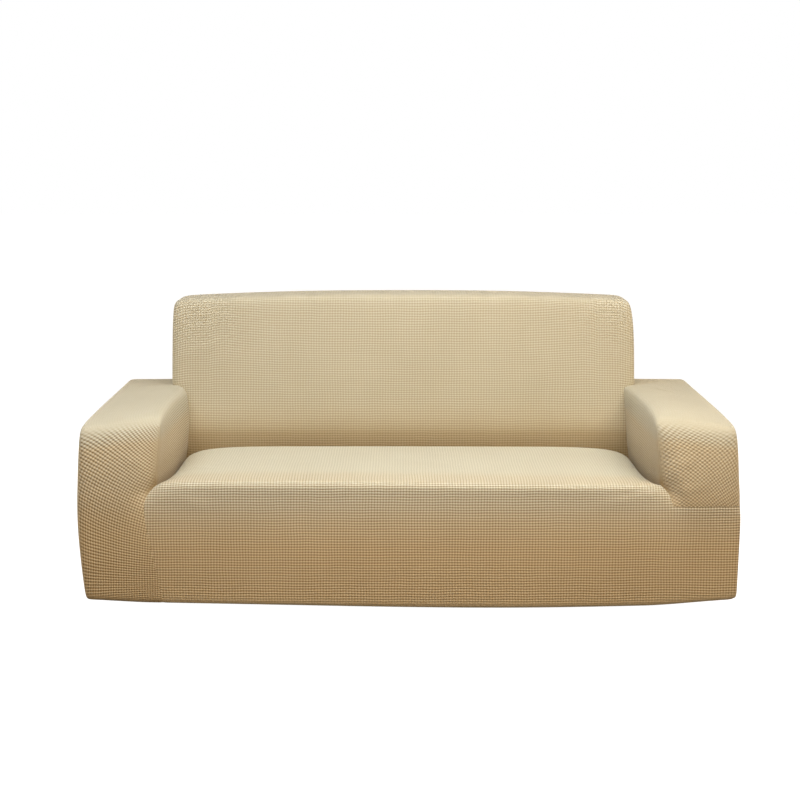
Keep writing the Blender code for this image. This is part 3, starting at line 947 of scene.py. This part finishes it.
def painted_shade_of(cloth, place):
    """How much painted shade browns the yarn beside a tuck, on the arms' inner faces, at the
    backrest's foot and towards the hem, from 0 to 1.
    """
    above = min(1.0, max(0.0, (place.z - SEAT_HEIGHT) / PAINTED_SHADE_HEIGHT))
    if cloth == BACK:
        return (1.0 - above) ** BACK_PAINTED_SHADE_POWER
    most = LEFT_ARM_LOW_PAINTED_SHADE if cloth == ARM_L else LOW_PAINTED_SHADE
    low = most * (1.0 - ease(place.z, *LOW_PAINTED_SHADE_SPAN))
    if cloth not in (ARM_L, ARM_R):
        return low
    off = math.hypot(abs(place.x) - ARM_INNER_X, max(0.0, place.z - SEAT_HEIGHT))
    in_tuck = TUCK_PAINTED_SHADE * math.exp(-((off / TUCK_PAINTED_SHADE_WIDTH) ** 2))
    in_tuck *= ease(place.z, SEAM_HEIGHT, SEAT_HEIGHT)
    inner = abs(place.x) < ARM_INNER_X + TINY and place.y > TINY
    on_inner = INNER_ARM_PAINTED_SHADE * (1.0 - above) ** INNER_ARM_PAINTED_SHADE_POWER * inner
    return max(low, in_tuck, on_inner)


print("dust at the backrest's foot:", painted_shade_of(BACK, Vector((0.0, SEAT_DEPTH, SEAT_HEIGHT))))

# %% [markdown]
# ## Five thin cloths
# Each cloth is the part of the skin that carries its number, with its edge drawn in by a hair
# so that neighbours meet without sharing a face. It is one layer, and a Solidify modifier
# gives it the knit's thickness inwards, so that the outside stays where the frame has it. The
# border edges are marked sharp, so that the shading doesn't round them off beside a seam.

# %% Draw in an edge
EDGE_IN = 0.00006


def draw_in_edge(bm):
    """Move the border points a little into the cloth, along its surface."""
    half = 0.5  # a border point has two border edges, and each takes away its half
    bm.normal_update()
    moves = []
    for vert in bm.verts:
        if not vert.is_boundary:
            continue
        inwards = Vector((0.0, 0.0, 0.0))
        for face in vert.link_faces:
            inwards += (face.calc_center_median() - vert.co).normalized()
        for edge in vert.link_edges:
            if edge.is_boundary:
                along = (edge.other_vert(vert).co - vert.co).normalized()
                inwards -= along * inwards.dot(along) * half
        inwards -= vert.normal * inwards.dot(vert.normal)
        if inwards.length > TINY:
            moves.append((vert, inwards.normalized() * EDGE_IN))
    for vert, move in moves:
        vert.co += move


print("neighbours are kept", 2 * EDGE_IN * 1000, "mm apart")

# %% Cut the cloths
KNIT_THICKNESS = 0.0024


def cut_cloth(cloth):
    """Make one cloth's object out of its part of the skin."""
    name = CLOTHS[cloth][0]
    bm = skin.copy()
    others = [face for face in bm.faces if face.material_index != cloth]
    bmesh.ops.delete(bm, geom=others, context="FACES")
    draw_in_edge(bm)
    straight = bm.verts.layers.float_vector["straight"]
    # Besides calm, each point gets how much painted light and how much painted shade its colour
    # takes.
    for attribute, number_of in (("calm", calm_of), ("painted_light", painted_light_of), ("painted_shade", painted_shade_of)):
        layer = bm.verts.layers.float.new(attribute)
        for vert in bm.verts:
            vert[layer] = number_of(cloth, Vector(vert[straight]))
    lay_grain(bm, cloth)
    for face in bm.faces:
        face.material_index = 0
        face.smooth = True
    for edge in bm.edges:
        edge.smooth = not edge.is_boundary
    bmesh.ops.translate(bm, vec=-ORIGIN, verts=bm.verts)
    area = sum(face.calc_area() for face in bm.faces)
    mesh = bpy.data.meshes.new(name)
    bm.to_mesh(mesh)
    bm.free()
    cloth_object = bpy.data.objects.new(name, mesh)
    bpy.context.collection.objects.link(cloth_object)
    wall = cloth_object.modifiers.new("thickness", "SOLIDIFY")
    wall.thickness = KNIT_THICKNESS
    wall.offset = -1.0
    wall.use_rim = True
    print(name, "has", len(mesh.polygons), "faces and", round(area, 3), "square metres")
    return cloth_object


cloths = {cloth: cut_cloth(cloth) for cloth in CLOTHS}
skin.free()

# %% [markdown]
# ## The knit
# The waffle is a grid of raised ribs round shallow pits, about seven millimetres across: the
# rib tops catch the light, and the pits are browner, partly from the yarn's own tone and partly
# as painted shade in the hollows. Modelled as mesh it would take millions of faces, so it is a
# height that a Bump node reads, from two waves that count the UV map's rows and columns. On
# most of the cloths the rows are the stronger. The small class below wraps a socket, so that
# the sums can be written as plain expressions.

# %% Shader sums as expressions


class Sum:
    """A socket's value, or a node that makes one."""

    def __init__(self, tree, socket):
        self.tree = tree
        self.socket = socket

    def node(self, kind, settings, **inputs):
        """Make a node, set it up, then give its sockets values or links."""
        made = self.tree.nodes.new(kind)
        for key, value in settings.items():
            setattr(made, key, value)
        for key, value in inputs.items():
            slot = made.inputs[int(key[1:]) if key[1:].isdigit() else key.replace("_", " ")]
            if isinstance(value, Sum):
                self.tree.links.new(value.socket, slot)
            else:
                slot.default_value = value
        return made

    def maths(self, operation, *values):
        inputs = {f"n{number}": value for number, value in enumerate(values)}
        made = self.node("ShaderNodeMath", {"operation": operation}, **inputs)
        return Sum(self.tree, made.outputs[0])

    def __add__(self, other):
        return self.maths("ADD", self, other)

    __radd__ = __add__

    def __sub__(self, other):
        return self.maths("SUBTRACT", self, other)

    def __rsub__(self, other):
        return self.maths("SUBTRACT", other, self)

    def __mul__(self, other):
        return self.maths("MULTIPLY", self, other)

    __rmul__ = __mul__

    def __pow__(self, other):
        return self.maths("POWER", self, other)


print("sums with a number in front:", [name for name in vars(Sum) if name.startswith("__r")])

# %% [markdown]
# ## The knit's material
# Both waves are a little displaced by a slow noise, because no knit is drawn by a ruler. Each
# cloth has its own balance of rows and columns and its own contrast of ribs and pits, and so
# its
# own depth of painted shade in the pits: deepest on the left arm and the seat cloth, faintest
# on the backrest. Where the cloth is calm, ribs and pits even out to one tone. A finer wave and
# a fibre noise give the single stitches, which show only close up. Two multiplying mixes then
# paint light and shade into the colour: painted light makes the yarn paler and greyer on the
# tops, the backrest's face and the upper front, and painted shade makes it browner in the
# tucks, at the backrest's foot and towards the hem. The cloth is matt, and a pale sheen stands
# for the fuzz that lightens it where it is seen along its surface.

# %% Choose the knit's colours and sizes
ROW_PITCH = 0.0069
COLUMN_PITCH = 0.0074
RIB_COLOUR = (0.74, 0.590, 0.350, 1.0)
# The pit colour is partly the yarn's own tone and partly painted shade in the pits.
PIT_COLOUR_AND_SHADE = (0.22, 0.132, 0.042, 1.0)
# The first tint below paints light, paler and greyer; the second paints shade, browner.
PAINTED_LIGHT_TINT = (0.94, 1.13, 1.46, 1.0)
PAINTED_SHADE_TINT = (0.58, 0.50, 0.37, 1.0)
RELIEF = 0.0012
KNIT = {
    # cloth: share of the rows in the relief, contrast of ribs and pits with their painted
    # shade, tone where calm
    SEAT: (0.62, 0.95, 0.76),
    ARM_L: (0.60, 1.10, 0.52),
    ARM_R: (0.50, 0.70, 0.50),
    BACK: (0.62, 0.45, 0.58),
    REAR: (0.62, 0.70, 0.58),
}
print("a square of the waffle:", COLUMN_PITCH * 1000, "by", ROW_PITCH * 1000, "mm")

# %% Choose how uneven the knit is
WANDER_SCALE, COLUMN_WANDER, ROW_WANDER = 11.0, 0.006, 0.005
FIBRE_SCALE, PATCH_SCALE = 900.0, 5.0
STITCHES_ACROSS, STITCHES_UP = 5.0, 4.0
RIB_WIDENING = 0.8
STITCH_TONE, FUZZ_TONE, PATCH_TONE = 0.03, 0.12, 0.10
STITCH_RELIEF, FUZZ_RELIEF, CALM_FLATTENING = 0.05, 0.10, 0.85
MATT, RIB_GLOSS = 0.97, 0.08
print("a rib wanders by up to", COLUMN_WANDER / 2 * 1000, "mm")

# %% Make the ribs and the stitches


def ribs_and_stitches(start, own, row_share):
    """How high the ribs stand, from 0 to 1, and the single stitches, from -1 to 1."""
    tree = start.tree
    weave = start.node("ShaderNodeUVMap", {"uv_map": "cloth"})
    counts = start.node("ShaderNodeSeparateXYZ", {}, n0=Sum(tree, weave.outputs[0]))
    wander = start.node("ShaderNodeTexNoise", {}, Vector=own, Scale=WANDER_SCALE, Detail=2.0)
    shifts = start.node("ShaderNodeSeparateXYZ", {}, n0=Sum(tree, wander.outputs["Color"]))
    column = Sum(tree, counts.outputs[0]) + (Sum(tree, shifts.outputs[0]) - 0.5) * COLUMN_WANDER
    row = Sum(tree, counts.outputs[1]) + (Sum(tree, shifts.outputs[1]) - 0.5) * ROW_WANDER
    column_turn = column * (2.0 * math.pi / COLUMN_PITCH)
    row_turn = row * (2.0 * math.pi / ROW_PITCH)
    column_rib = column_turn.maths("COSINE", column_turn) * 0.5 + 0.5
    row_rib = row_turn.maths("COSINE", row_turn) * 0.5 + 0.5
    height = row_rib**RIB_WIDENING * row_share + column_rib**RIB_WIDENING * (1.0 - row_share)

    stitch = column_turn.maths("SINE", column_turn * STITCHES_ACROSS)
    stitch = stitch * row_turn.maths("SINE", row_turn * STITCHES_UP)
    return height, stitch


print("stitches in a square:", STITCHES_ACROSS, "across and", STITCHES_UP, "up")

# %% Make the knit


def waffle_knit(name, row_share, pit_shade_contrast, calm_tone):
    """A material whose waffle follows the UV map "cloth"."""
    material = bpy.data.materials.new(name)
    material.use_nodes = True
    tree = material.node_tree
    tree.nodes.clear()
    start = Sum(tree, None)
    own = Sum(tree, start.node("ShaderNodeTexCoord", {}).outputs["Object"])
    # Besides calm, the two attributes read here carry the painted light and the painted shade.
    calm, painted_light, painted_shade = [
        Sum(tree, start.node("ShaderNodeAttribute", {"attribute_name": layer}).outputs["Fac"])
        for layer in ("calm", "painted_light", "painted_shade")
    ]
    height, stitch = ribs_and_stitches(start, own, row_share)
    fibre = start.node("ShaderNodeTexNoise", {}, Vector=own, Scale=FIBRE_SCALE, Detail=2.0)
    fuzz = Sum(tree, fibre.outputs["Fac"]) - 0.5
    patch = start.node("ShaderNodeTexNoise", {}, Vector=own, Scale=PATCH_SCALE, Detail=3.0)
    tone = (Sum(tree, patch.outputs["Fac"]) - 0.5) * PATCH_TONE

    even = ((height - 0.5) * pit_shade_contrast + 0.5) * (1.0 - calm) + calm * calm_tone
    light = even + stitch * STITCH_TONE + fuzz * FUZZ_TONE + tone
    blend = {"data_type": "RGBA", "clamp_factor": True}
    # Low rib height takes the pit colour, which is partly painted shade.
    colour = start.node("ShaderNodeMix", blend, n0=light, n6=PIT_COLOUR_AND_SHADE, n7=RIB_COLOUR)
    blend = {"data_type": "RGBA", "blend_type": "MULTIPLY"}
    # The first mix paints light into the colour, the second paints shade.
    for factor, tint in ((painted_light, PAINTED_LIGHT_TINT), (painted_shade, PAINTED_SHADE_TINT)):
        before = Sum(tree, colour.outputs[2])
        colour = start.node("ShaderNodeMix", blend, n0=factor, n6=before, n7=tint)
    relief = height * (1.0 - calm * CALM_FLATTENING)
    relief = relief + stitch * STITCH_RELIEF + fuzz * FUZZ_RELIEF
    bump = start.node("ShaderNodeBump", {}, Strength=1.0, Distance=RELIEF, Height=relief)
    surface = start.node(
        "ShaderNodeBsdfPrincipled",
        {},
        Base_Color=Sum(tree, colour.outputs[2]),
        Roughness=MATT - light * RIB_GLOSS,
        Specular_IOR_Level=0.15,
        Sheen_Weight=0.15,
        Sheen_Roughness=0.45,
        Sheen_Tint=(1.0, 0.97, 0.92, 1.0),
        Normal=Sum(tree, bump.outputs[0]),
    )
    start.node("ShaderNodeOutputMaterial", {}, Surface=Sum(tree, surface.outputs[0]))
    print(name, "uses", len(tree.nodes), "nodes")
    return material


# %% [markdown]
# ## Dress the frame
# Each cloth takes the place of its frame node and rides on the part's one body. The flat size
# is what the cloth measures when cut, about eight per cent less each way than it covers.

# %% Hand the cloths to the frame
FLAT = {
    # cloth: width and length of the cut in metres, its area, the frame's finish
    SEAT: ((1.57, 0.96), 1.13, "seat_front_knit"),
    ARM_L: ((0.95, 0.95), 0.656, "arm_left_knit"),
    ARM_R: ((0.88, 0.95), 0.62, "arm_right_knit"),
    BACK: ((1.40, 0.66), 0.776, "back_knit"),
    REAR: ((1.57, 0.75), 1.02, "rear_knit"),
}
for cloth, piece in cloths.items():
    flat, area, finish = FLAT[cloth]
    piece.data.materials.append(waffle_knit(finish, *KNIT[cloth]))
    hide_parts(CLOTHS[cloth][1])
    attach(piece, "root")
print("dressed", len(cloths), "nodes")

# %% [markdown]
# ## Floor and light
# The picture is the cover alone on white. The floor is pale grey to the light and glows white
# for the camera only, and the air does the same, so neither washes out the shadows. Six soft
# lights that the camera doesn't see do the rest: a strip just in front of the seat, a wide warm
# one in front and a wide cool one overhead make the tops bright and let the front fall off
# towards the hem. One behind and one at each side keep the other views clear. The air's own
# light is weak and warm, and it fills the folds.

# %% Lay the floor
FLOOR_Z = -ORIGIN.z
FLOOR_SIZE = 30.0
FLOOR_GREY = (0.25, 0.25, 0.25, 1.0)
WHITE = (1.0, 1.0, 1.0, 1.0)
floor_mesh = bpy.data.meshes.new("floor")
ground = bmesh.new()
bmesh.ops.create_grid(ground, x_segments=1, y_segments=1, size=FLOOR_SIZE)
bmesh.ops.translate(ground, vec=(0.0, 0.0, FLOOR_Z), verts=ground.verts)
ground.to_mesh(floor_mesh)
ground.free()
floor = bpy.data.objects.new("floor", floor_mesh)
bpy.context.collection.objects.link(floor)
paper = bpy.data.materials.new("pale floor")
paper.use_nodes = True
under = paper.node_tree
matt = under.nodes["Principled BSDF"]
matt.inputs["Base Color"].default_value = FLOOR_GREY
matt.inputs["Roughness"].default_value = 1.0
matt.inputs["Specular IOR Level"].default_value = 0.0
below = Sum(under, matt.outputs[0])
seen = Sum(under, below.node("ShaderNodeLightPath", {}).outputs["Is Camera Ray"])
glow = below.node("ShaderNodeEmission", {}, Color=WHITE, Strength=seen)
both = below.node("ShaderNodeAddShader", {}, n0=below, n1=Sum(under, glow.outputs[0]))
under.links.new(both.outputs[0], under.nodes["Material Output"].inputs["Surface"])
floor_mesh.materials.append(paper)
print("floor at", round(FLOOR_Z, 4), "m")

# %% Light it
AIR_COLOUR = (1.0, 0.5, 0.15, 1.0)
AIR_STRENGTH = 0.15
LIGHTS = [
    # name, place, point it is aimed at, size, watts, colour
    ("strip", (0.0, -1.45, 0.90), (0.0, -0.77, -0.45), (3.2, 0.4), 31.0, (0.62, 0.77, 1.0)),
    ("front", (0.5, -2.1, 1.45), (0.0, -0.6, -0.40), (3.6, 1.0), 65.0, (1.0, 0.76, 0.48)),
    ("overhead", (0.0, -0.45, 2.2), (0.0, -0.45, -0.5), (4.0, 1.2), 46.0, (0.71, 0.86, 1.0)),
    ("rear", (0.0, 2.6, -0.1), (0.0, 0.1, -0.45), (3.0, 1.0), 46.0, (1.0, 0.9, 0.75)),
    ("left", (-3.2, 0.3, -0.3), (-0.85, -0.3, -0.5), (1.6, 0.8), 34.0, (1.0, 0.9, 0.75)),
    ("right", (3.2, 0.3, -0.3), (0.85, -0.3, -0.5), (1.6, 0.8), 34.0, (1.0, 0.9, 0.75)),
]
world = bpy.data.worlds.new("studio")
bpy.context.scene.world = world
world.use_nodes = True
sky = world.node_tree
sky.nodes.clear()
air = Sum(sky, None)
seen = Sum(sky, air.node("ShaderNodeLightPath", {}).outputs["Is Camera Ray"])
ambient = air.node("ShaderNodeBackground", {}, Color=AIR_COLOUR, Strength=AIR_STRENGTH)
backdrop = air.node("ShaderNodeBackground", {}, Color=WHITE, Strength=1.0)
weak, white = Sum(sky, ambient.outputs[0]), Sum(sky, backdrop.outputs[0])
mixed = air.node("ShaderNodeMixShader", {}, n0=seen, n1=weak, n2=white)
air.node("ShaderNodeOutputWorld", {}, Surface=Sum(sky, mixed.outputs[0]))


def soft_light(name, place, aim, size, power, colour):
    """Hang a rectangle of soft light at a place, turned towards a point."""
    lamp = bpy.data.lights.new(name, "AREA")
    lamp.shape = "RECTANGLE"
    lamp.size, lamp.size_y = size
    lamp.energy = power
    lamp.color = colour
    holder = bpy.data.objects.new(name, lamp)
    holder.location = place
    holder.visible_camera = False
    holder.rotation_euler = (Vector(aim) - Vector(place)).to_track_quat("-Z", "Y").to_euler()
    bpy.context.collection.objects.link(holder)


for light in LIGHTS:
    soft_light(*light)
print("hung", len(LIGHTS), "soft lights")

# %% [markdown]
# ## Camera
# A long lens from in front, a little above the backrest, as the photograph has it.

# %% Set the camera
FOCAL_LENGTH = 78.75
SENSOR_WIDTH = 36.0
CAMERA_PLACE = (-0.0216, -5.187, 0.4165)
CAMERA_TILT = math.radians(81.87)
eye = bpy.data.cameras.new("camera")
eye.lens = FOCAL_LENGTH
eye.sensor_width = SENSOR_WIDTH
camera = bpy.data.objects.new("camera", eye)
camera.location = CAMERA_PLACE
camera.rotation_euler = (CAMERA_TILT, 0.0, 0.0)
bpy.context.collection.objects.link(camera)
bpy.context.scene.camera = camera
bpy.context.scene.view_settings.view_transform = "Standard"
print("camera lens", eye.lens, "mm")
